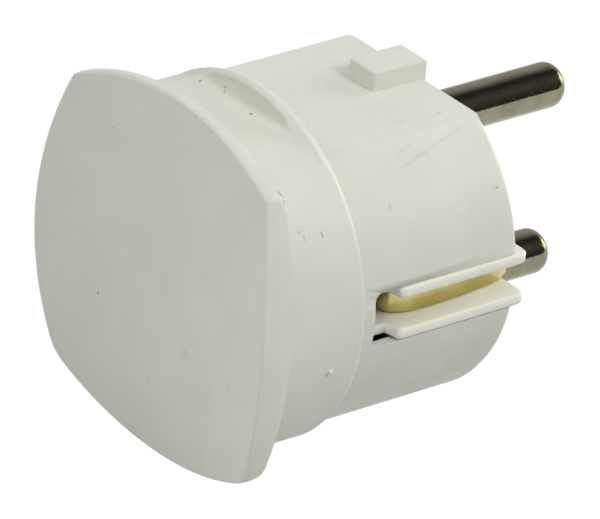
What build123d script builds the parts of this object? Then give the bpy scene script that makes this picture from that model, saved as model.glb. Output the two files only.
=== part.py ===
from build123d import *
import os

# Earthed round mains plug, lying on its side: pins along +Y, blank front plate towards -Y, +Z up.
# The origin is the middle of the whole plug, on its long axis. All sizes are in millimetres.

# Lengths along the plug
plate_thickness = 3.4
collar_length = 9.2
sleeve_length = 19.6
pin_length = 19.0

# Front plate, measured at its back edge
plate_half_width = 19.15
plate_half_height = 19.6
plate_corner_x = 15.95
plate_corner_z = 15.65
plate_top_corner_radius = 1.0
plate_bottom_corner_radius = 4.2
plate_face_radius = 92.0
plate_edge_draft = 4.5
plate_front_bevel = 0.3
plate_back_ease_length = 0.9
plate_back_ease_depth = 0.15
plate_edge_land = 0.05

# Collar with finger flats above and below, and the rim at its pin end
collar_radius = 18.9
collar_flat_height = 16.45
collar_flat_blend = 8.0
rim_thickness = 1.6
rim_ease_length = 0.7
rim_ease_depth = 0.25
rim_inner_bevel = 0.5
rim_depth = 4.0
collar_foot_round = 1.0

# Sleeve with key flats and key bosses above and below
sleeve_radius = 18.15
sleeve_flat_height = 15.2
sleeve_wall = 1.1
sleeve_end_ease_length = 0.6
sleeve_end_ease_depth = 0.25
front_wall = 2.8
rib_root = 0.7
boss_width = 4.15
boss_length = 6.65
boss_height = 2.15
boss_offset = -0.4
boss_bevel = 0.3
boss_root = 0.8

# Side slots for the earth contacts
slot_half_height = 3.0
slot_end_margin = 1.75
slot_corner_radius = 0.9
slot_reach = 3.0

# Pins
pin_diameter = 4.8
pin_spacing = 19.0
pin_tip_round = 1.7
pin_stem_diameter = 5.2
pin_head_diameter = 6.4
pin_head_length = 9.0
pin_wire_bore_diameter = 3.0
pin_wire_bore_depth = 7.0

# Pin carrier
carrier_gap = 0.15
carrier_recess = 0.3
carrier_floor = 4.0
tower_wall = 1.8
tower_length = 12.2
column_diameter = 8.0
column_length = 13.0
web_thickness = 2.4
cheek_inner_x = 10.6
channel_floor_x = 13.3

# Fins that stand in the side slots
fin_thickness = 1.25
fin_gap = 3.3
fin_reach_x = 18.2
fin_overrun = 1.45
fin_root_x = 12.0
fin_tab_root_x = 14.2
fin_neck_x = 16.3
fin_neck_length = 2.3
fin_ramp_length = 0.4
fin_ramp_round = 0.7
fin_nose_round = 1.0
fin_edge_bevel = 0.25
fin_end_clearance = 0.1
fin_tab_depth = 1.0

# Earth strap
strap_thickness = 0.7
strap_side_clearance = 0.2
strap_bend_margin = 0.05
strap_bend_radius = 1.85
strap_crease_x = 15.38
strap_crease_length = 2.35
strap_bow_x = 15.34
strap_end_x = 14.69
strap_end_overrun = 0.3
strap_curl_x = 13.75
strap_curl_length = 1.7
strap_hub_diameter = 7.4

# Screws and the earth clamp
pin_clearance = 0.05
thread_clearance = 0.05
screw_hole_clearance = 0.15
fixing_diameter = 2.9
fixing_head_diameter = 5.6
fixing_head_height = 2.0
fixing_sink = 2.6
fixing_sink_clearance = 0.3
fixing_engagement = 8.0
post_diameter = 7.0
terminal_diameter = 2.4
terminal_head_diameter = 4.0
terminal_head_height = 1.6
terminal_head_lift = 0.6
terminal_tip_x = 0.3
earth_screw_x = 8.0
earth_screw_diameter = 2.9
earth_screw_head_diameter = 5.2
earth_screw_head_height = 1.8
earth_screw_overrun = 3.2
earth_pad_side = 7.0
earth_washer_thickness = 0.8
screw_slot_width = 0.7
screw_slot_depth = 0.9
stop_rib_width = 2.4
stop_rib_clearance = 0.2

# Stations along the plug, worked out from the lengths
overall_length = plate_thickness + collar_length + sleeve_length + pin_length
y_front = -overall_length / 2
y_plate_back = y_front + plate_thickness
y_rim_end = y_plate_back + collar_length
y_rim_wall = y_rim_end - rim_thickness
y_sleeve_end = y_rim_end + sleeve_length
y_pin_tip = y_sleeve_end + pin_length
y_cavity_floor = y_front + front_wall
y_slot_end = y_rim_end + slot_end_margin
y_face = y_sleeve_end - carrier_recess
y_floor_back = y_face - carrier_floor
y_tower_end = y_face - tower_length
y_column_end = y_face - column_length
y_strap_back = y_column_end - strap_thickness
y_pin_head_end = y_tower_end - pin_head_length
y_fixing_seat = y_face - fixing_sink
y_terminal = (y_tower_end + y_pin_head_end) / 2

# Ease of the plate's back edge, limited by the plate's edge where the dome leaves it thinnest
plate_dome_drop = plate_face_radius - (plate_face_radius**2 - plate_half_height**2) ** 0.5
plate_edge_room = plate_thickness - plate_dome_drop - plate_front_bevel - plate_edge_land
plate_back_ease_reach = min(plate_back_ease_length, plate_edge_room)

# Cross sizes worked out from the driving ones
pin_offset = pin_spacing / 2
pin_radius = pin_diameter / 2
pin_stem_radius = pin_stem_diameter / 2
pin_head_radius = pin_head_diameter / 2
cavity_radius = sleeve_radius - sleeve_wall
cavity_flat_height = sleeve_flat_height - sleeve_wall
carrier_radius = cavity_radius - carrier_gap
carrier_flat_height = cavity_flat_height - carrier_gap
fin_outer_z = fin_gap / 2 + fin_thickness
strap_width = fin_gap - 2 * strap_side_clearance
slot_corner_rise = max(0, fin_outer_z - slot_half_height + slot_corner_radius)
slot_corner_intrusion = slot_corner_radius - (slot_corner_radius**2 - slot_corner_rise**2) ** 0.5
past = 2.0


def station(y):
    """Plane across the plug at a station, with its sketch axes along +X and +Z."""
    return Plane(origin=(0, y, 0), x_dir=(1, 0, 0), z_dir=(0, -1, 0))


def prism(sketch, y_low, y_high):
    """Straight prism of a cross sketch between two stations."""
    return extrude(station(y_high) * sketch, amount=y_high - y_low)


def flatted_disc(radius, flat_height):
    """Round cross section with a flat above and below."""
    return Circle(radius) & Rectangle(2 * radius + past, 2 * flat_height)


def plate_outline():
    """Four bowed sides, with nearly sharp upper corners and rounder lower ones."""
    upper_right = (plate_corner_x, plate_corner_z)
    upper_left = (-plate_corner_x, plate_corner_z)
    lower_left = (-plate_corner_x, -plate_corner_z)
    lower_right = (plate_corner_x, -plate_corner_z)
    sides = [
        ThreePointArc(lower_right, (plate_half_width, 0), upper_right),
        ThreePointArc(upper_right, (0, plate_half_height), upper_left),
        ThreePointArc(upper_left, (-plate_half_width, 0), lower_left),
        ThreePointArc(lower_left, (0, -plate_half_height), lower_right),
    ]
    outline = make_face(sides)
    outline = fillet(outline.vertices().group_by(Axis.Y)[-1], plate_top_corner_radius)
    return fillet(outline.vertices().group_by(Axis.Y)[0], plate_bottom_corner_radius)


def front_plate():
    """Drafted plate whose front face is part of a wide cylinder lying across the plug."""
    back = station(y_plate_back) * plate_outline()
    blank = extrude(back, amount=plate_thickness + past, taper=plate_edge_draft)
    dome_axis = Pos(0, y_front + plate_face_radius, 0) * Rot(0, 90, 0)
    dome = dome_axis * Cylinder(plate_face_radius, 2 * plate_half_width + past)
    plate = blank & dome
    plate = chamfer(plate.faces().sort_by(Axis.Y)[0].edges(), plate_front_bevel)
    back_face = plate.faces().sort_by(Axis.Y)[-1]
    return chamfer(back_face.edges(), plate_back_ease_depth, plate_back_ease_reach, reference=back_face)


def rim_ring():
    """Thin ring at the collar's pin end, with both of its outer edges eased."""
    inner_radius = collar_radius - rim_depth
    section = Polyline(
        (inner_radius, y_rim_wall),
        (collar_radius - rim_inner_bevel, y_rim_wall),
        (collar_radius, y_rim_wall + rim_inner_bevel),
        (collar_radius, y_rim_end - rim_ease_length),
        (collar_radius - rim_ease_depth, y_rim_end),
        (inner_radius, y_rim_end),
        close=True,
    )
    return revolve(make_face(section), Axis.Y)


def rim_foot(side):
    """Concave strip that rounds the corner between one finger flat and the rim's wall."""
    corner = Pos(y_rim_wall, side * collar_flat_height)
    block = corner * Rectangle(2 * collar_foot_round, 2 * collar_foot_round)
    hollow = corner * Pos(-collar_foot_round, side * collar_foot_round) * Circle(collar_foot_round)
    strip = extrude(Plane.YZ * (block - hollow), amount=collar_radius, both=True)
    return strip & prism(Circle(collar_radius - rim_inner_bevel), y_plate_back, y_rim_end - rim_ease_length)


def collar():
    """Round collar that ends in the rim, with flats above and below that blend into its sides."""
    section = flatted_disc(collar_radius, collar_flat_height)
    section = fillet(section.vertices(), collar_flat_blend)
    grip = prism(section, y_plate_back, y_rim_end - rim_ease_length)
    return grip + rim_ring() + rim_foot(1) + rim_foot(-1)


def key_boss(side):
    """Small rectangular key on one flat of the sleeve, flush with its end."""
    height = boss_height + boss_root
    middle_z = side * (sleeve_flat_height + (boss_height - boss_root) / 2)
    place = Pos(side * boss_offset, middle_z)
    boss = prism(place * Rectangle(boss_width, height), y_sleeve_end - boss_length, y_sleeve_end)
    top = boss.faces().sort_by(Axis.Z)[-1 if side > 0 else 0]
    upright = boss.edges().filter_by(Axis.Z).group_by(Axis.Y)[0]
    return chamfer(top.edges() + upright, boss_bevel)


def side_slot(side):
    """Slot through one side of the sleeve, open at the pin end, with one rounded inner corner."""
    middle = (y_slot_end + y_sleeve_end + past) / 2
    outline = Pos(middle, 0) * Rectangle(y_sleeve_end + past - y_slot_end, 2 * slot_half_height)
    corner = outline.vertices().group_by(Axis.Y)[-1].sort_by(Axis.X)[0]
    outline = fillet(corner, slot_corner_radius)
    start_x = cavity_radius - slot_reach
    slot = extrude(Plane.YZ.offset(start_x) * outline, amount=sleeve_radius + past - start_x)
    return slot if side > 0 else mirror(slot, Plane.YZ)


def stop_rib(side):
    """Rib from the flat wall of the cavity to the end of one pin, which it keeps from backing out."""
    low = pin_offset + pin_wire_bore_diameter / 2 + stop_rib_clearance
    high = cavity_flat_height + sleeve_wall / 2
    rib = Pos(0, side * (low + high) / 2) * Rectangle(stop_rib_width, high - low)
    return prism(rib, y_cavity_floor - rib_root, y_pin_head_end)


def housing():
    """One moulding: domed plate, collar, sleeve, keys, slots and the post that takes the fixing screw."""
    sleeve = prism(flatted_disc(sleeve_radius, sleeve_flat_height), y_rim_end - rim_thickness, y_sleeve_end)
    end_face = sleeve.faces().sort_by(Axis.Y)[-1]
    sleeve = chamfer(end_face.edges(), sleeve_end_ease_depth, sleeve_end_ease_length, reference=end_face)
    body = front_plate() + collar() + sleeve + key_boss(1) + key_boss(-1)
    body -= prism(flatted_disc(cavity_radius, cavity_flat_height), y_cavity_floor, y_sleeve_end + past)
    body += prism(Circle(post_diameter / 2), y_cavity_floor - rib_root, y_strap_back)
    body += stop_rib(1) + stop_rib(-1)
    pilot = Circle(fixing_diameter / 2 + thread_clearance)
    body -= prism(pilot, y_strap_back - fixing_engagement - past, y_strap_back + past)
    return body - side_slot(1) - side_slot(-1)


def fin_outline():
    """Outline of one fin seen from above: a low neck, a ramp, a long straight edge and a rounded nose."""
    back = y_slot_end + slot_corner_intrusion + fin_end_clearance
    neck = back + fin_neck_length
    ramp = neck + fin_ramp_length
    nose = y_sleeve_end + fin_overrun
    tab_back = y_face - fin_tab_depth
    points = [
        (fin_root_x, back),
        (fin_neck_x, back),
        (fin_neck_x, neck),
        (fin_reach_x, ramp),
        (fin_reach_x, nose),
        (fin_tab_root_x, nose),
        (fin_tab_root_x, tab_back),
        (fin_root_x, tab_back),
    ]
    outline = make_face(Polyline(points, close=True))
    outer = outline.vertices().group_by(Axis.X)[-1].sort_by(Axis.Y)
    outline = fillet(outer[0], fin_ramp_round)
    outer = outline.vertices().group_by(Axis.X)[-1].sort_by(Axis.Y)
    return fillet(outer[-1], fin_nose_round)


def fin_pair():
    """Upper and lower fin of the right-hand slot."""
    outline = fin_outline()
    upper = extrude(Plane.XY.offset(fin_gap / 2) * outline, amount=fin_thickness)
    rim = upper.edges().filter_by(Plane.XY).filter_by_position(Axis.X, fin_neck_x, fin_reach_x)
    upper = chamfer(rim, fin_edge_bevel)
    return upper + mirror(upper, Plane.XY)


def pin_carrier():
    """Insert with a thick floor, a tower round each pin, a screw column, and the fins with their cheeks."""
    section = flatted_disc(carrier_radius, carrier_flat_height)
    body = prism(section, y_floor_back, y_face)
    tower = Circle(pin_stem_radius + tower_wall)
    towers = Pos(0, pin_offset) * tower + Pos(0, -pin_offset) * tower
    web = Rectangle(web_thickness, pin_spacing)
    body += prism((towers + web) & section, y_tower_end, y_floor_back)
    body += prism(Circle(column_diameter / 2), y_column_end, y_floor_back)
    cheek_depth = channel_floor_x - cheek_inner_x
    for side in (1, -1):
        cheek_x = side * (cheek_inner_x + cheek_depth / 2)
        body += prism(Pos(cheek_x, 0) * Rectangle(cheek_depth, 2 * fin_outer_z), y_column_end, y_floor_back)
        channel_depth = carrier_radius + past - channel_floor_x
        channel_x = side * (channel_floor_x + channel_depth / 2)
        channel = Pos(channel_x, 0) * Rectangle(channel_depth, fin_gap)
        body -= prism(channel, y_floor_back - past, y_face + past)
    fins = fin_pair()
    body += fins + mirror(fins, Plane.YZ)
    hole = Circle(pin_stem_radius + pin_clearance)
    for side in (1, -1):
        body -= prism(Pos(0, side * pin_offset) * hole, y_tower_end - past, y_face + past)
    body -= prism(Circle(fixing_diameter / 2 + screw_hole_clearance), y_column_end - past, y_face)
    sink = Circle(fixing_head_diameter / 2 + fixing_sink_clearance)
    return body - prism(sink, y_fixing_seat, y_face + past)


def contact_pin(side):
    """Turned pin: a domed tip, a stem in the carrier, and a bored head tapped for a clamp screw."""
    profile = Polyline(
        (0, y_pin_head_end),
        (pin_head_radius, y_pin_head_end),
        (pin_head_radius, y_tower_end),
        (pin_stem_radius, y_tower_end),
        (pin_stem_radius, y_face),
        (pin_radius, y_face),
        (pin_radius, y_pin_tip),
        (0, y_pin_tip),
        close=True,
    )
    turned = revolve(make_face(profile), Axis.Y)
    turned = fillet(turned.edges().group_by(Axis.Y)[-1], pin_tip_round)
    bore = Circle(pin_wire_bore_diameter / 2)
    turned -= prism(bore, y_pin_head_end - past, y_pin_head_end + pin_wire_bore_depth)
    tapped = Cylinder(terminal_diameter / 2 + thread_clearance, pin_head_radius + past)
    tapped_x = side * (pin_head_radius + past) / 2
    turned -= Pos(tapped_x, y_terminal, 0) * Rot(0, 90, 0) * tapped
    return Pos(0, 0, side * pin_offset) * turned


def strap_arm():
    """Right-hand half of the strip's centre line: bridge, bend, crease, bow and inward curl."""
    y_bridge = y_column_end - strap_thickness / 2
    bend_start = (channel_floor_x + strap_bend_margin, y_bridge)
    bend_end = (bend_start[0] + strap_bend_radius, y_bridge + strap_bend_radius)
    crease = (strap_crease_x, y_bridge + strap_crease_length)
    bow_end = (strap_end_x, y_sleeve_end + strap_end_overrun)
    bow_middle = (strap_bow_x, (crease[1] + bow_end[1]) / 2)
    curl_tip = (strap_curl_x, bow_end[1] + strap_curl_length)
    bridge = Line((0, y_bridge), bend_start)
    bend = TangentArc(bend_start, bend_end, tangent=(1, 0))
    rise = Line(bend_end, crease)
    bow = ThreePointArc(crease, bow_middle, bow_end)
    curl = Line(bow_end, curl_tip)
    return bridge + bend + rise + bow + curl


def earth_strap():
    """Brass strip bent to a U across the carrier's back, with a hub for the screw and an earth pad."""
    ribbon = extrude(trace(strap_arm(), strap_thickness), amount=strap_width / 2, both=True)
    strap = ribbon + mirror(ribbon, Plane.YZ)
    hub = Circle(strap_hub_diameter / 2) + Pos(earth_screw_x, 0) * Rectangle(earth_pad_side, earth_pad_side)
    strap += prism(hub, y_strap_back, y_column_end)
    clear = Circle(fixing_diameter / 2 + screw_hole_clearance)
    tapped = Pos(earth_screw_x, 0) * Circle(earth_screw_diameter / 2 + thread_clearance)
    return strap - prism(clear + tapped, y_strap_back - past, y_column_end + past)


def slotted_screw(diameter, length, head_diameter, head_height):
    """Slotted screw along +Z: its head stands on the plane Z = 0 and its shank runs down from there."""
    shank = Pos(0, 0, -length / 2) * Cylinder(diameter / 2, length)
    head = Pos(0, 0, head_height / 2) * Cylinder(head_diameter / 2, head_height)
    slot = Pos(0, 0, head_height) * Box(head_diameter + past, screw_slot_width, 2 * screw_slot_depth)
    return shank + (head - slot)


def fixing_screw():
    """Screw in the pin face that draws the carrier and the strap onto the housing's post."""
    length = y_fixing_seat - y_strap_back + fixing_engagement
    screw = slotted_screw(fixing_diameter, length, fixing_head_diameter, fixing_head_height)
    return Pos(0, y_fixing_seat, 0) * Rot(-90, 0, 0) * screw


def terminal_screw(side):
    """Clamp screw across the inner end of one pin."""
    seat_x = pin_head_radius + terminal_head_lift
    length = seat_x - terminal_tip_x
    screw = slotted_screw(terminal_diameter, length, terminal_head_diameter, terminal_head_height)
    return Pos(side * seat_x, y_terminal, side * pin_offset) * Rot(0, side * 90, 0) * screw


def earth_clamp_washer():
    """Square washer under the earth screw's head, on the back of the strap."""
    pad = Pos(earth_screw_x, 0) * Rectangle(earth_pad_side, earth_pad_side)
    hole = Pos(earth_screw_x, 0) * Circle(earth_screw_diameter / 2 + screw_hole_clearance)
    return prism(pad - hole, y_strap_back - earth_washer_thickness, y_strap_back)


def earth_terminal_screw():
    """Earth screw, put in from the back of the strap."""
    length = earth_washer_thickness + strap_thickness + earth_screw_overrun
    screw = slotted_screw(earth_screw_diameter, length, earth_screw_head_diameter, earth_screw_head_height)
    return Pos(earth_screw_x, y_strap_back - earth_washer_thickness, 0) * Rot(90, 0, 0) * screw


nodes = {
    "housing": housing(),
    "pin_carrier": pin_carrier(),
    "line_pin": contact_pin(1),
    "neutral_pin": contact_pin(-1),
    "earth_strap": earth_strap(),
    "fixing_screw": fixing_screw(),
    "line_terminal_screw": terminal_screw(1),
    "neutral_terminal_screw": terminal_screw(-1),
    "earth_terminal_screw": earth_terminal_screw(),
    "earth_clamp_washer": earth_clamp_washer(),
}

os.makedirs("parts", exist_ok=True)
for name, solid in nodes.items():
    export_step(solid, f"parts/{name}.step")
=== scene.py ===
import math

import bmesh
import bpy
import numpy as np
from mathutils import Matrix, Vector


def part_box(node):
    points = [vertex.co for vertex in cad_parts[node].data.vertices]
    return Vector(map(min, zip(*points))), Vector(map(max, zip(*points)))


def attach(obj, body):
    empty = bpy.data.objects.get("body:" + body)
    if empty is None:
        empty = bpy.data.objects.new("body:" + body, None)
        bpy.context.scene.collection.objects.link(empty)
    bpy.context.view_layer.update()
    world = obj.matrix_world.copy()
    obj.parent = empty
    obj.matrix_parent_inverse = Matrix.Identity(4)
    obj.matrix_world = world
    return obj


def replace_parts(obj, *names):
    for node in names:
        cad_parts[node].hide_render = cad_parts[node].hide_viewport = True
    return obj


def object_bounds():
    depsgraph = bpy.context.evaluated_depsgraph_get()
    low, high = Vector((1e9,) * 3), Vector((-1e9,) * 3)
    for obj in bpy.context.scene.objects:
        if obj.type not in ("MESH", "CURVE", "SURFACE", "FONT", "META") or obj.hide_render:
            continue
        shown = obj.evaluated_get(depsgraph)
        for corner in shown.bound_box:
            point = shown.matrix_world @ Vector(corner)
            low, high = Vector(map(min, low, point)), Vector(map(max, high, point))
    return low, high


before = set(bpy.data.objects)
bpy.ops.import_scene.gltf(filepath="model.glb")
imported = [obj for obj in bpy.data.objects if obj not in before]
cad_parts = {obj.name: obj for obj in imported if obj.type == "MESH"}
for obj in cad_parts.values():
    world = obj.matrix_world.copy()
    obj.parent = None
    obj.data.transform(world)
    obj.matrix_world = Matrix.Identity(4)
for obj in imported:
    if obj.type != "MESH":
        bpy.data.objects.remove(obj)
cad_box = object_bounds()

# Lengths in this script are in millimetres unless a name says otherwise
MM = 0.001

# Photograph: image size, and the view that was measured from it
IMAGE_WIDTH = 600
IMAGE_HEIGHT = 519
FOCAL_PIXELS = 8000.0
PIXELS_PER_MM = 9.95
SENSOR_WIDTH = 36.0
VIEW_AZIMUTH = 50.0
VIEW_ELEVATION = 27.4
VIEW_ROLL = 4.83
# Pixel at which the middle of the sleeve's open end lies
SLEEVE_END_PIXEL = (402.5, 207.1)

# Main sizes of the part, as in its source
SLEEVE_RADIUS = 18.15
SLEEVE_FLAT_Z = 15.2
COLLAR_RADIUS = 18.9
COLLAR_FLAT_Z = 16.45
COLLAR_BLEND = 8.0
FOOT_ROUND = 1.0
RIM_WALL_Y = -14.6
FACE_RADIUS = 92.0
FACE_FRONT_Y = -25.6


# Places of the Mix node's two colour inputs and of its colour output
MIX_FIRST = 6
MIX_SECOND = 7
MIX_COLOUR = 2


def linear(code):
    """Linear colour with alpha from an sRGB hex code such as #C0C0C0."""
    values = [int(code[i : i + 2], 16) / 255 for i in (1, 3, 5)]
    return (*[v / 12.92 if v <= 0.04045 else ((v + 0.055) / 1.055) ** 2.4 for v in values], 1.0)


def add_node(tree, kind, inputs=None, output=0, **settings):
    """Adds a node with its settings, sets or links the inputs that are named, and returns one output."""
    node = tree.nodes.new(kind)
    for name, value in settings.items():
        setattr(node, name, value)
    for socket, value in (inputs or {}).items():
        if isinstance(value, bpy.types.NodeSocket):
            tree.links.new(value, node.inputs[socket])
        else:
            node.inputs[socket].default_value = value
    return node.outputs[output] if node.outputs else None


def new_tree(owner):
    """Empties the node tree of a material or a world and returns it."""
    owner.use_nodes = True
    owner.node_tree.nodes.clear()
    return owner.node_tree


def in_millimetres(tree, stretch=(1, 1, 1)):
    """Object coordinates in millimetres; a stretch above one draws a pattern out along that axis."""
    where = add_node(tree, "ShaderNodeTexCoord", output="Object")
    scale = [1 / (MM * factor) for factor in stretch]
    return add_node(tree, "ShaderNodeMapping", {"Vector": where, "Scale": scale})


def patchy(tree, where, size, detail, low, high, spread=(0.3, 0.7)):
    """Value that drifts between two levels over patches of about the given size."""
    cloud = add_node(tree, "ShaderNodeTexNoise", {"Vector": where, "Scale": 1 / size, "Detail": detail})
    limits = {0: cloud, 1: spread[0], 2: spread[1], 3: low, 4: high}
    return add_node(tree, "ShaderNodeMapRange", limits, interpolation_type="SMOOTHSTEP")


# Share of a mark's reach at which it starts to fade
MARK_CORE = 0.35


def mark_mask(tree, where, marks):
    """Sum of small oval marks, each with its place, half sizes, turn in degrees and strength."""
    total = 0.0
    for place, half_sizes, turn, strength in marks:
        angles = [math.radians(v) for v in turn]
        frame_of_mark = {"Vector": where, "Location": place, "Rotation": angles, "Scale": half_sizes}
        local = add_node(tree, "ShaderNodeMapping", frame_of_mark, vector_type="TEXTURE")
        reach = add_node(tree, "ShaderNodeVectorMath", {0: local}, "Value", operation="LENGTH")
        fade = {0: reach, 1: MARK_CORE, 2: 1.0, 3: strength, 4: 0.0}
        mark = add_node(tree, "ShaderNodeMapRange", fade, interpolation_type="SMOOTHSTEP")
        total = add_node(tree, "ShaderNodeMath", {0: mark, 1: total}, operation="ADD")
    return total


def on_round(radius, angle, y):
    """Point on a round surface about the plug's axis, by its angle above +X in degrees."""
    turn = math.radians(angle)
    return (radius * math.cos(turn), y, radius * math.sin(turn))


def on_face(x, z):
    """Point on the domed front face."""
    return (x, FACE_FRONT_Y + FACE_RADIUS - math.sqrt(FACE_RADIUS**2 - z**2), z)


def on_foot(x, turn):
    """Point on the hollow round at the rim's foot, from the wall at 0 degrees to the flat at 90."""
    angle = math.radians(turn)
    y = RIM_WALL_Y - FOOT_ROUND * (1 - math.cos(angle))
    return (x, y, COLLAR_FLAT_Z + FOOT_ROUND * (1 - math.sin(angle)))


def speck(place, radius, strength):
    """Round mark."""
    return (place, (radius, radius, radius), (0, 0, 0), strength)


def streak(start, end, half_width, strength):
    """Thin mark between two points."""
    a = Vector(start)
    b = Vector(end)
    turn = (b - a).to_track_quat("X", "Z").to_euler()
    sizes = ((b - a).length / 2, half_width, half_width)
    return (tuple((a + b) / 2), sizes, [math.degrees(v) for v in turn], strength)


# Small moulding and handling marks on the white moulding
HOUSING_MARKS = [
    speck(on_foot(-6.8, 70), 0.24, 0.75),
    speck(on_foot(-3.6, 20), 0.2, 0.6),
    speck(on_foot(-3.3, 45), 0.26, 0.35),
    speck(on_foot(1.5, 70), 0.24, 0.85),
    speck(on_face(-7.7, -4.9), 0.2, 0.6),
    speck(on_face(-8.1, 13.1), 0.16, 0.35),
    speck(on_face(6.6, -4.9), 0.8, 0.07),
    speck(on_face(0.6, -10.8), 0.7, 0.07),
    speck(on_face(10.3, -6.5), 0.5, 0.08),
    speck(on_face(13.7, -5.4), 0.5, 0.1),
    speck((18.6, -22.4, -4.1), 0.22, 0.35),
    speck((18.5, -23.3, -4.8), 0.2, 0.3),
    speck((18.5, -23.9, -5.6), 0.18, 0.35),
    speck((18.2, -25.2, 8.9), 0.25, 0.3),
    speck(on_round(COLLAR_RADIUS, -12.4, -17.1), 0.3, 0.45),
    streak(on_round(COLLAR_RADIUS, 35.6, -19.9), on_round(COLLAR_RADIUS, 35.0, -19.3), 0.14, 0.3),
    streak(on_round(COLLAR_RADIUS, 35.0, -19.3), on_round(COLLAR_RADIUS, 31.2, -19.0), 0.14, 0.25),
    streak(on_round(COLLAR_RADIUS, 34.4, -17.1), on_round(COLLAR_RADIUS, 31.0, -17.0), 0.17, 0.35),
    streak(on_round(SLEEVE_RADIUS, 44.6, -6.0), on_round(SLEEVE_RADIUS, 50.5, 0.5), 0.24, 0.12),
    streak(on_round(SLEEVE_RADIUS, 49.0, -0.8), on_round(SLEEVE_RADIUS, 54.4, 5.2), 0.24, 0.11),
    streak(on_round(SLEEVE_RADIUS, 49.5, -5.4), on_round(SLEEVE_RADIUS, 53.0, -2.0), 0.32, 0.08),
    streak((8.5, 2.0, SLEEVE_FLAT_Z), (8.4, 4.0, SLEEVE_FLAT_Z), 0.18, 0.2),
    streak((8.1, -2.4, SLEEVE_FLAT_Z), (8.0, -1.0, SLEEVE_FLAT_Z), 0.18, 0.16),
    speck(on_round(SLEEVE_RADIUS, 47.8, -1.4), 0.32, 0.14),
    speck(on_round(SLEEVE_RADIUS, 49.4, -0.3), 0.32, 0.12),
    speck(on_round(SLEEVE_RADIUS, 31.5, 5.3), 0.22, 0.5),
    speck(on_round(SLEEVE_RADIUS, 31.6, 4.9), 0.45, 0.12),
    streak(on_round(SLEEVE_RADIUS, 36.6, -7.65), on_round(SLEEVE_RADIUS, 33.2, -7.95), 0.2, 0.25),
    speck(on_round(SLEEVE_RADIUS, -27.9, 0.7), 0.8, 0.06),
]


# Moulded plastic: pattern sizes and depths in millimetres, and levels
FLOW_CLOUD_SIZE = 7.0
MARK_COLOUR = "#4A483E"
MARK_BREAK_SIZE = 0.5
MARK_BREAK_LEVELS = (0.55, 1.0)
MARK_BREAK_SPREAD = (0.25, 0.6)
# The tool's fine texture is drawn at this size, coarser than the real one, so that it shows
TOOL_GRAIN_SIZE = 0.35
TOOL_GRAIN_DEPTH = 0.05
TOOL_GRAIN_STRENGTH = 0.06
PLASTIC_GLOSS_SIZE = 2.5
PLASTIC_GLOSS = (0.36, 0.46)
PLASTIC_IOR = 1.5
SCATTER_REACH = 1.0
SCATTER_BY_COLOUR = (1.0, 0.95, 0.75)


def moulded_plastic(name, pale, worn, marks, see_through):
    """Thermoset pressed in a polished tool: even and slightly silky, with faint flow clouds, and with
    dust and scuffs in a few places. Light spreads a little way under the surface of the paler grades."""
    material = bpy.data.materials.new(name)
    tree = new_tree(material)
    where = in_millimetres(tree)
    clouds = patchy(tree, where, FLOW_CLOUD_SIZE, detail=3.0, low=0.0, high=1.0)
    layers = {0: clouds, MIX_FIRST: linear(pale), MIX_SECOND: linear(worn)}
    body = add_node(tree, "ShaderNodeMix", layers, MIX_COLOUR, data_type="RGBA")
    if marks:
        low, high = MARK_BREAK_LEVELS
        broken = patchy(tree, where, MARK_BREAK_SIZE, 2.0, low, high, MARK_BREAK_SPREAD)
        parts = {0: mark_mask(tree, where, marks), 1: broken}
        mask = add_node(tree, "ShaderNodeMath", parts, operation="MULTIPLY")
        layers = {0: mask, MIX_FIRST: body, MIX_SECOND: linear(MARK_COLOUR)}
        body = add_node(tree, "ShaderNodeMix", layers, MIX_COLOUR, data_type="RGBA")
    grain = patchy(tree, where, TOOL_GRAIN_SIZE, detail=2.0, low=0.0, high=1.0)
    relief = {"Height": grain, "Strength": TOOL_GRAIN_STRENGTH, "Distance": TOOL_GRAIN_DEPTH * MM}
    surface = {
        "Base Color": body,
        "Roughness": patchy(tree, where, PLASTIC_GLOSS_SIZE, 4.0, *PLASTIC_GLOSS),
        "Normal": add_node(tree, "ShaderNodeBump", relief),
        "IOR": PLASTIC_IOR,
        "Subsurface Weight": see_through,
        "Subsurface Radius": SCATTER_BY_COLOUR,
        "Subsurface Scale": SCATTER_REACH * MM,
    }
    shader = add_node(tree, "ShaderNodeBsdfPrincipled", surface)
    add_node(tree, "ShaderNodeOutputMaterial", {"Surface": shader})
    return material


# Worked metal: widths of its lines and pits in millimetres, and how few of the pits show
LINE_WIDTH = 0.25
PIT_SIZE = 0.2
PIT_SPREAD = (0.65, 0.73)


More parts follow.
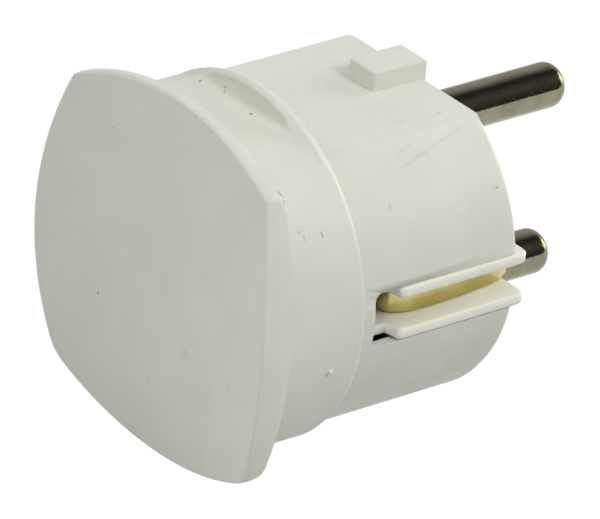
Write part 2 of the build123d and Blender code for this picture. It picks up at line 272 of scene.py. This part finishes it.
def worked_metal(name, bright, dull, gloss, patch, line_stretch, line_relief, pitting):
    """Metal with the fine lines that drawing, rolling or turning leaves, with small pits and a patchy
    tarnish: the lines spread its mirror image across them, and pits and tarnish make it uneven."""
    material = bpy.data.materials.new(name)
    tree = new_tree(material)
    tarnish = patchy(tree, in_millimetres(tree), patch, detail=4.0, low=0.0, high=1.0)
    layers = {0: tarnish, MIX_FIRST: linear(bright), MIX_SECOND: linear(dull)}
    lines = in_millimetres(tree, line_stretch)
    scratch = patchy(tree, lines, LINE_WIDTH, detail=3.0, low=0.0, high=line_relief)
    pits = patchy(tree, in_millimetres(tree), PIT_SIZE, 1.0, 0.0, pitting, PIT_SPREAD)
    depth = add_node(tree, "ShaderNodeMath", {0: scratch, 1: pits}, operation="SUBTRACT")
    relief = {"Height": depth, "Strength": 1.0, "Distance": 1.0 * MM}
    surface = {
        "Base Color": add_node(tree, "ShaderNodeMix", layers, MIX_COLOUR, data_type="RGBA"),
        "Roughness": patchy(tree, lines, LINE_WIDTH, 3.0, *gloss),
        "Normal": add_node(tree, "ShaderNodeBump", relief),
        "Metallic": 1.0,
    }
    shader = add_node(tree, "ShaderNodeBsdfPrincipled", surface)
    add_node(tree, "ShaderNodeOutputMaterial", {"Surface": shader})
    return material


# Urea resin pressed in a polished steel tool: a cool white with a silky, slightly uneven gloss
white_plastic = moulded_plastic(
    "white_urea_moulding", "#E9EADF", "#E5E6DA", HOUSING_MARKS, see_through=0.0
)
# Paler resin of the carrier: creamier, and light spreads inside its thin fins
cream_plastic = moulded_plastic("cream_carrier_moulding", "#FFFEF2", "#FDFCEA", [], see_through=0.3)
# Turned and barrel-plated pins: a near mirror with rings round the pin and a few pits
nickel = worked_metal(
    "nickel_plated_brass",
    bright="#938F7A",
    dull="#85816D",
    gloss=(0.04, 0.09),
    patch=1.6,
    line_stretch=(1, 0.125, 1),
    line_relief=0.0015,
    pitting=0.006,
)
# Strip rolled along its length: a soft gloss with faint long lines and a slight tarnish
brass = worked_metal(
    "rolled_brass_strip",
    bright="#CBC07C",
    dull="#BFB06A",
    gloss=(0.22, 0.26),
    patch=5.0,
    line_stretch=(1, 16, 1),
    line_relief=0.0001,
    pitting=0.0,
)
# Headed screws and the washer, zinc plated in a barrel: grey, dull and slightly rough
zinc = worked_metal(
    "zinc_plated_steel",
    bright="#B9BABA",
    dull="#A2A3A2",
    gloss=(0.25, 0.4),
    patch=1.6,
    line_stretch=(1, 1, 1),
    line_relief=0.002,
    pitting=0.0,
)


def add_object(mesh, material):
    """Object at the origin with one material."""
    thing = bpy.data.objects.new(mesh.name, mesh)
    thing.data.materials.append(material)
    bpy.context.scene.collection.objects.link(thing)
    return thing


# Facets that differ by less than the first angle are joined, edges sharper than the second stay hard,
# and points closer than the distance are merged
JOIN_ANGLE = math.radians(0.2)
HARD_ANGLE = math.radians(58)
JOIN_DISTANCE = 0.001
# Faces smaller than this, in square millimetres, are parts of a round and have no hard edges
ROUND_AREA = 0.1
# Points closer than this to the front edge of the rim's foot lie on it
EDGE_REACH = 0.01
# Points in this box, by absolute x, y and absolute z, are the crowded ends of the rim's feet.
# Those closer than the distance below it are merged.
FOOT_END_LOW = (7.3, -15.7, 16.0)
FOOT_END_HIGH = (8.8, -14.7, 17.0)
FOOT_END_MERGE = 0.25


def close_foot_ledges(mesh):
    """Lowers the ends of the rim's foot onto the collar's blended corners, over which they stand by a
    tenth: along the foot's front edge a point is at most as high as the blend, the height of the
    blend's centre plus the root of its squared radius less the squared distance from that centre."""
    points = np.empty(len(mesh.vertices) * 3)
    mesh.vertices.foreach_get("co", points)
    x, y, z = points.reshape(-1, 3).T / MM
    centre_z = COLLAR_FLAT_Z - COLLAR_BLEND
    centre_x = math.sqrt((COLLAR_RADIUS - COLLAR_BLEND) ** 2 - centre_z**2)
    across = np.clip(np.abs(x) - centre_x, 0, COLLAR_BLEND)
    blend_z = centre_z + np.sqrt(COLLAR_BLEND**2 - across**2)
    on_edge = (np.abs(y - RIM_WALL_Y + FOOT_ROUND) < EDGE_REACH) & (np.abs(z) > SLEEVE_FLAT_Z)
    z = np.where(on_edge, np.sign(z) * np.minimum(np.abs(z), blend_z), z)
    mesh.vertices.foreach_set("co", (np.stack([x, y, z], axis=-1) * MM).ravel())


def at_foot_end(point):
    """True for a point at one of the four ends of the rim's feet."""
    place = (abs(point.x), point.y, abs(point.z))
    return all(low < value < high for low, value, high in zip(FOOT_END_LOW, place, FOOT_END_HIGH))


def softened(node, name, material):
    """Copy of a moulded CAD node whose bevels shade as the rounds that a mould leaves."""
    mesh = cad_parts[node].data.copy()
    mesh.name = name
    if "custom_normal" in mesh.attributes:
        mesh.attributes.remove(mesh.attributes["custom_normal"])
    if node == "housing":
        close_foot_ledges(mesh)
    form = bmesh.new()
    form.from_mesh(mesh)
    bmesh.ops.remove_doubles(form, verts=form.verts, dist=JOIN_DISTANCE * MM)
    if node == "housing":
        ends = [vertex for vertex in form.verts if at_foot_end(vertex.co / MM)]
        bmesh.ops.remove_doubles(form, verts=ends, dist=FOOT_END_MERGE * MM)
    bmesh.ops.dissolve_limit(form, angle_limit=JOIN_ANGLE, verts=form.verts, edges=form.edges)
    for edge in form.edges:
        smallest = min((face.calc_area() for face in edge.link_faces), default=0.0)
        edge.smooth = edge.calc_face_angle(math.pi) < HARD_ANGLE or smallest < ROUND_AREA * MM**2
    form.to_mesh(mesh)
    form.free()
    mesh.shade_smooth()
    mesh.materials.clear()
    piece = add_object(mesh, material)
    weighted = piece.modifiers.new("even_normals", "WEIGHTED_NORMAL")
    weighted.keep_sharp = True
    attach(piece, "root")
    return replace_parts(piece, node)


softened("housing", "moulded_housing", white_plastic)
softened("pin_carrier", "moulded_carrier", cream_plastic)

METAL_NODES = {
    "line_pin": nickel,
    "neutral_pin": nickel,
    "earth_strap": brass,
    "fixing_screw": zinc,
    "line_terminal_screw": zinc,
    "neutral_terminal_screw": zinc,
    "earth_terminal_screw": zinc,
    "earth_clamp_washer": zinc,
}
for node_name, metal in METAL_NODES.items():
    for material_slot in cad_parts[node_name].material_slots:
        material_slot.material = metal


def surface_mesh(name, points, closed_u=False):
    """Mesh of quads from a grid of points. If asked, the first grid direction closes on itself, and one
    small face closes the pole, at which the second direction starts."""
    rows, columns = points.shape[:2]
    index = np.arange(rows * columns).reshape(rows, columns)
    if closed_u:
        index = np.concatenate([index, index[:1]])
    quads = np.stack([index[:-1, :-1], index[1:, :-1], index[1:, 1:], index[:-1, 1:]], axis=-1)
    faces = quads.reshape(-1, 4).tolist()
    if closed_u:
        faces.append(index[:0:-1, 0].tolist())
    mesh = bpy.data.meshes.new(name)
    mesh.from_pydata((points.reshape(-1, 3) * MM).tolist(), [], faces)
    mesh.shade_smooth()
    return mesh


# Moulding nib on the collar
NIB_ANGLE = -11.2
NIB_Y = -16.75
NIB_HALF_LENGTH = 0.45
NIB_HALF_WIDTH = 0.32
NIB_HEIGHT = 0.3
NIB_SINK = 0.06
NIB_STEPS_ROUND = 24
NIB_STEPS_OUT = 8
# The dome's middle is a very small ring, as a share of its reach
NIB_MIDDLE = 0.001


def nib_points():
    """Oval dome on the round collar: its height falls with the squared distance from its middle,
    (1 - r r) squared times the full height, and its foot lies just under the collar's surface.
    The turn runs backwards, so that the faces point outwards."""
    around = np.linspace(2 * np.pi, 0, NIB_STEPS_ROUND, endpoint=False)
    turn, r = np.meshgrid(around, np.linspace(NIB_MIDDLE, 1, NIB_STEPS_OUT), indexing="ij")
    angle = math.radians(NIB_ANGLE) + NIB_HALF_WIDTH * r * np.sin(turn) / COLLAR_RADIUS
    y = NIB_Y + NIB_HALF_LENGTH * r * np.cos(turn)
    reach = COLLAR_RADIUS - NIB_SINK + (NIB_HEIGHT + NIB_SINK) * (1 - r**2) ** 2
    return np.stack([reach * np.cos(angle), y, reach * np.sin(angle)], axis=-1)


nib = add_object(surface_mesh("collar_nib", nib_points(), True), white_plastic)
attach(nib, "root")


# Light levels of the sky, where 1 is white
AMBIENT = 0.2
MIRRORED_SKY = 0.37
# White floor: its level, how much of it is plain white, its colour under light, and its size
FLOOR_LEVEL = 1.06
FLOOR_WHITENESS = 0.93
FLOOR_COLOUR = "#B4B4B2"
FLOOR_HALF_SIZE = 2500.0


def by_ray(tree, bounced, camera, mirrored, clear):
    """Level for bounced light, with other levels where the camera, a mirror or a clear body looks."""
    level = bounced
    seen = {"Is Camera Ray": camera, "Is Glossy Ray": mirrored, "Is Transmission Ray": clear}
    for kind, value in seen.items():
        flag = add_node(tree, "ShaderNodeLightPath", output=kind)
        terms = {0: flag, 1: value - bounced, 2: level}
        level = add_node(tree, "ShaderNodeMath", terms, operation="MULTIPLY_ADD")
    return level


def floor_material():
    """White paper, shown as plain white with a little of the light and shadow that falls on it."""
    material = bpy.data.materials.new("white_paper_floor")
    tree = new_tree(material)
    lit = add_node(tree, "ShaderNodeBsdfDiffuse", {"Color": linear(FLOOR_COLOUR)})
    plain = add_node(tree, "ShaderNodeEmission", {"Color": (1, 1, 1, 1), "Strength": FLOOR_LEVEL})
    amount = by_ray(tree, 0.0, FLOOR_WHITENESS, FLOOR_WHITENESS, FLOOR_WHITENESS)
    mixed = add_node(tree, "ShaderNodeMixShader", {0: amount, 1: lit, 2: plain})
    add_node(tree, "ShaderNodeOutputMaterial", {"Surface": mixed})
    return material


floor_z = cad_box[0].z / MM
floor_edge = np.array([-FLOOR_HALF_SIZE, FLOOR_HALF_SIZE])
floor_grid = np.stack(np.meshgrid(floor_edge, floor_edge, [floor_z], indexing="ij"), axis=-1)[:, :, 0]
floor = add_object(surface_mesh("floor", floor_grid), floor_material())


def only_mirrored(thing):
    """Hides a stage piece from all but reflections."""
    thing.visible_camera = False
    thing.visible_diffuse = False
    thing.visible_shadow = False
    thing.visible_transmission = False
    thing.visible_volume_scatter = False


# Glowing sheet over the pins, seen only in reflections, which paints a dark reflection in them with
# painted paler parts
REFLECTION_SHEET_RADIUS = 230.0
REFLECTION_SHEET_Y = (-60.0, 900.0)
REFLECTION_SHEET_TURN = (-3.0, 175.0)
REFLECTION_SHEET_FADE = (90.0, 140.0)
# Levels of the painted reflection: dark, pale, and the painted sheen of its paler fold
PAINTED_REFLECTION_DARK = 0.05
PAINTED_REFLECTION_PALE = 0.58
PAINTED_FOLD_SHEEN = 0.09
REFLECTION_SHEET_STEPS = 60


def reflection_sheet_points():
    """Part of a wide tube about the plug's axis, from the floor at +X up and over to the other side."""
    around = np.radians(np.linspace(*REFLECTION_SHEET_TURN, REFLECTION_SHEET_STEPS))
    turn, y = np.meshgrid(around, np.array(REFLECTION_SHEET_Y), indexing="ij")
    return np.stack([REFLECTION_SHEET_RADIUS * np.cos(turn), y, REFLECTION_SHEET_RADIUS * np.sin(turn)], axis=-1)


def painted_reflection_material():
    """Glow of a sheet seen only in reflections, which paints the pins' reflection: dark, with one
    painted paler fold, a painted sheen that is the squared sine of twice its turn. Round its bend the
    painted reflection grows lighter, up to a pale level."""
    material = bpy.data.materials.new("painted_pin_reflection")
    tree = new_tree(material)
    where = in_millimetres(tree)
    across, height = (add_node(tree, "ShaderNodeSeparateXYZ", {0: where}, axis) for axis in "XZ")
    turn = add_node(tree, "ShaderNodeMath", {0: height, 1: across}, operation="ARCTAN2")
    fade = {0: turn, 1: math.radians(REFLECTION_SHEET_FADE[0]), 2: math.radians(REFLECTION_SHEET_FADE[1])}
    levels = {3: PAINTED_REFLECTION_DARK, 4: PAINTED_REFLECTION_PALE}
    level = add_node(tree, "ShaderNodeMapRange", fade | levels, interpolation_type="SMOOTHSTEP")
    # Painted sheen: a paler fold, the squared sine of twice the turn, added to the level
    doubled = add_node(tree, "ShaderNodeMath", {0: turn, 1: 2.0}, operation="MULTIPLY")
    wave = add_node(tree, "ShaderNodeMath", {0: doubled}, operation="SINE")
    painted_sheen = add_node(tree, "ShaderNodeMath", {0: wave, 1: wave}, operation="MULTIPLY")
    painted_sheen_terms = {0: painted_sheen, 1: PAINTED_FOLD_SHEEN, 2: level}
    level = add_node(tree, "ShaderNodeMath", painted_sheen_terms, operation="MULTIPLY_ADD")
    glow = add_node(tree, "ShaderNodeEmission", {"Color": (1, 1, 1, 1), "Strength": level})
    add_node(tree, "ShaderNodeOutputMaterial", {"Surface": glow})
    return material


# Painted reflection for the pins: a glowing sheet that only reflections see
only_mirrored(add_object(surface_mesh("painted_reflection_sheet", reflection_sheet_points()), painted_reflection_material()))

# Small warm glowing square seen only in reflections: it lights nothing and paints a glint in the pins'
# tips
GLINT_PLACE = (30.0, 560.0, 95.0)
GLINT_HALF_SIZE = 120.0
GLINT_LEVEL = 4.0
GLINT_COLOUR = "#FFF0CC"


def painted_glint_material():
    """Warm glow of the square, which paints the glint."""
    material = bpy.data.materials.new("painted_warm_glint")
    tree = new_tree(material)
    glow = add_node(tree, "ShaderNodeEmission", {"Color": linear(GLINT_COLOUR), "Strength": GLINT_LEVEL})
    add_node(tree, "ShaderNodeOutputMaterial", {"Surface": glow})
    return material


def glint_points():
    """Square that stands upright and faces the plug."""
    out = np.array(GLINT_PLACE) / np.linalg.norm(GLINT_PLACE)
    side = np.cross((0, 0, 1), out)
    side = side / np.linalg.norm(side)
    reach = np.array([-GLINT_HALF_SIZE, GLINT_HALF_SIZE])
    u, v = np.meshgrid(reach, reach, indexing="ij")
    return np.array(GLINT_PLACE) + u[..., None] * side + v[..., None] * np.cross(out, side)


# Painted glint in the pins' tips, from a glowing square that only reflections see
only_mirrored(add_object(surface_mesh("warm_glint", glint_points()), painted_glint_material()))


def soft_lamp(name, place, aim, size, watts, mirrored=True):
    """Square soft box at a place, turned to the point that it lights."""
    light = bpy.data.lights.new(name, "AREA")
    light.shape = "SQUARE"
    light.size = size * MM
    light.energy = watts
    lamp = bpy.data.objects.new(name, light)
    start = Vector(place) * MM
    lamp.location = start
    lamp.rotation_euler = (Vector(aim) * MM - start).to_track_quat("-Z", "Y").to_euler()
    lamp.visible_camera = False
    lamp.visible_glossy = mirrored
    bpy.context.scene.collection.objects.link(lamp)


MIDDLE = (0, 0, 0)
soft_lamp("overhead_soft_box", (0, 0, 700), MIDDLE, size=600, watts=0.82, mirrored=False)
soft_lamp("front_soft_box", (0, -450, 500), MIDDLE, size=600, watts=0.69)
soft_lamp("left_soft_box", (-350, -350, 450), MIDDLE, size=300, watts=0.7)
soft_lamp("side_soft_box", (330, 60, 300), MIDDLE, size=130, watts=0.67)
soft_lamp("rear_soft_box", (100, 600, 250), MIDDLE, size=300, watts=1.4)
soft_lamp("face_soft_box", (40, -95, -6), (18, -25, -6), size=40, watts=0.01)

world = bpy.data.worlds.new("white_studio")
bpy.context.scene.world = world
world_tree = new_tree(world)
sky_level = by_ray(world_tree, AMBIENT, 1.0, MIRRORED_SKY, 1.0)
sky = add_node(world_tree, "ShaderNodeBackground", {"Color": (1, 1, 1, 1), "Strength": sky_level})
add_node(world_tree, "ShaderNodeOutputWorld", {"Surface": sky})


def photo_camera():
    """Camera at the photograph's viewing angle, distance and roll, with no lens shift."""
    azimuth, elevation, roll = (math.radians(v) for v in (VIEW_AZIMUTH, VIEW_ELEVATION, VIEW_ROLL))
    level_back = Vector((math.sin(azimuth), -math.cos(azimuth), 0))
    back = level_back * math.cos(elevation) + Vector((0, 0, math.sin(elevation)))
    level_right = Vector((math.cos(azimuth), math.sin(azimuth), 0))
    level_up = back.cross(level_right)
    right = level_right * math.cos(roll) + level_up * math.sin(roll)
    up = level_up * math.cos(roll) - level_right * math.sin(roll)
    sleeve_end = Vector((0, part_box("housing")[1].y / MM, 0))
    across = (IMAGE_WIDTH / 2 - SLEEVE_END_PIXEL[0]) / PIXELS_PER_MM
    above = (SLEEVE_END_PIXEL[1] - IMAGE_HEIGHT / 2) / PIXELS_PER_MM
    distance = FOCAL_PIXELS / PIXELS_PER_MM
    place = (sleeve_end + right * across + up * above + back * distance) * MM
    data = bpy.data.cameras.new("photo_camera")
    data.sensor_width = SENSOR_WIDTH
    data.lens = FOCAL_PIXELS / IMAGE_WIDTH * SENSOR_WIDTH
    camera = bpy.data.objects.new("photo_camera", data)
    camera.matrix_world = Matrix.Translation(place) @ Matrix((right, up, back)).transposed().to_4x4()
    bpy.context.scene.collection.objects.link(camera)
    return camera


bpy.context.scene.camera = photo_camera()
bpy.context.scene.view_settings.view_transform = "Standard"
